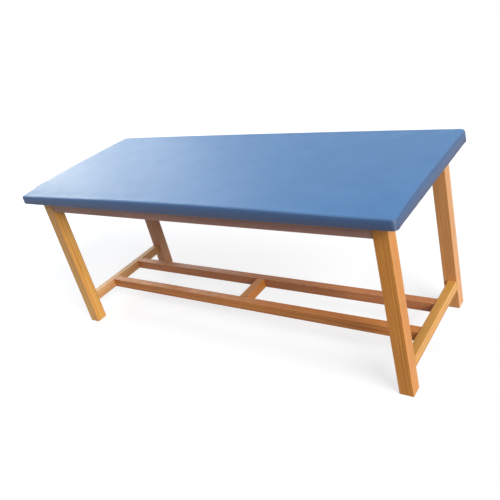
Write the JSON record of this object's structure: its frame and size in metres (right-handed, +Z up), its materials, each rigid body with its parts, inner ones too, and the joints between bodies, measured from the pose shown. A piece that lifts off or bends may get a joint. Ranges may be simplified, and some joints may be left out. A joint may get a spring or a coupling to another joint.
{
  "type": "treatment plinth",
  "caption": "Fixed-height treatment plinth: a flat blue vinyl padded top on a varnished timber frame with square legs and a low H-shaped stretcher.",
  "frame": {"origin": "on the floor below the middle of the top", "axes": "+X along the plinth's length, -Y towards its front long side, +Z up"},
  "size_m": [1.834, 0.714, 0.7491],
  "materials": {
    "varnished_timber": "orange-brown varnish over planed hardwood, satin to semi-gloss",
    "plywood": "unvarnished plywood face",
    "foam": "open-cell upholstery foam, covered all over",
    "blue_vinyl": "blue vinyl leathercloth with a fine grain and a soft sheen",
    "screw_steel": "zinc-plated countersunk wood screws"
  },
  "bodies": {
    "root": {"apron_back": "varnished_timber", "apron_front": "varnished_timber", "apron_left_end": "varnished_timber", "apron_right_end": "varnished_timber", "bearer_1": "varnished_timber", "bearer_1_screw_back": "screw_steel", "bearer_1_screw_front": "screw_steel", "bearer_2": "varnished_timber", "bearer_2_screw_back": "screw_steel", "bearer_2_screw_front": "screw_steel", "bearer_3": "varnished_timber", "bearer_3_screw_back": "screw_steel", "bearer_3_screw_front": "screw_steel", "corner_block_back_left": "varnished_timber", "corner_block_back_left_leg_screw": "screw_steel", "corner_block_back_left_screw_1": "screw_steel", "corner_block_back_left_screw_2": "screw_steel", "corner_block_back_right": "varnished_timber", "corner_block_back_right_leg_screw": "screw_steel", "corner_block_back_right_screw_1": "screw_steel", "corner_block_back_right_screw_2": "screw_steel", "corner_block_front_left": "varnished_timber", "corner_block_front_left_leg_screw": "screw_steel", "corner_block_front_left_screw_1": "screw_steel", "corner_block_front_left_screw_2": "screw_steel", "corner_block_front_right": "varnished_timber", "corner_block_front_right_leg_screw": "screw_steel", "corner_block_front_right_screw_1": "screw_steel", "corner_block_front_right_screw_2": "screw_steel", "foam_pad": "foam", "leg_back_left": "varnished_timber", "leg_back_right": "varnished_timber", "leg_front_left": "varnished_timber", "leg_front_right": "varnished_timber", "stretcher_back_long": "varnished_timber", "stretcher_brace": "varnished_timber", "stretcher_front_long": "varnished_timber", "stretcher_left_end": "varnished_timber", "stretcher_right_end": "varnished_timber", "top_board": "plywood", "vinyl_cover": "blue_vinyl"}
  },
  "joints": []
}
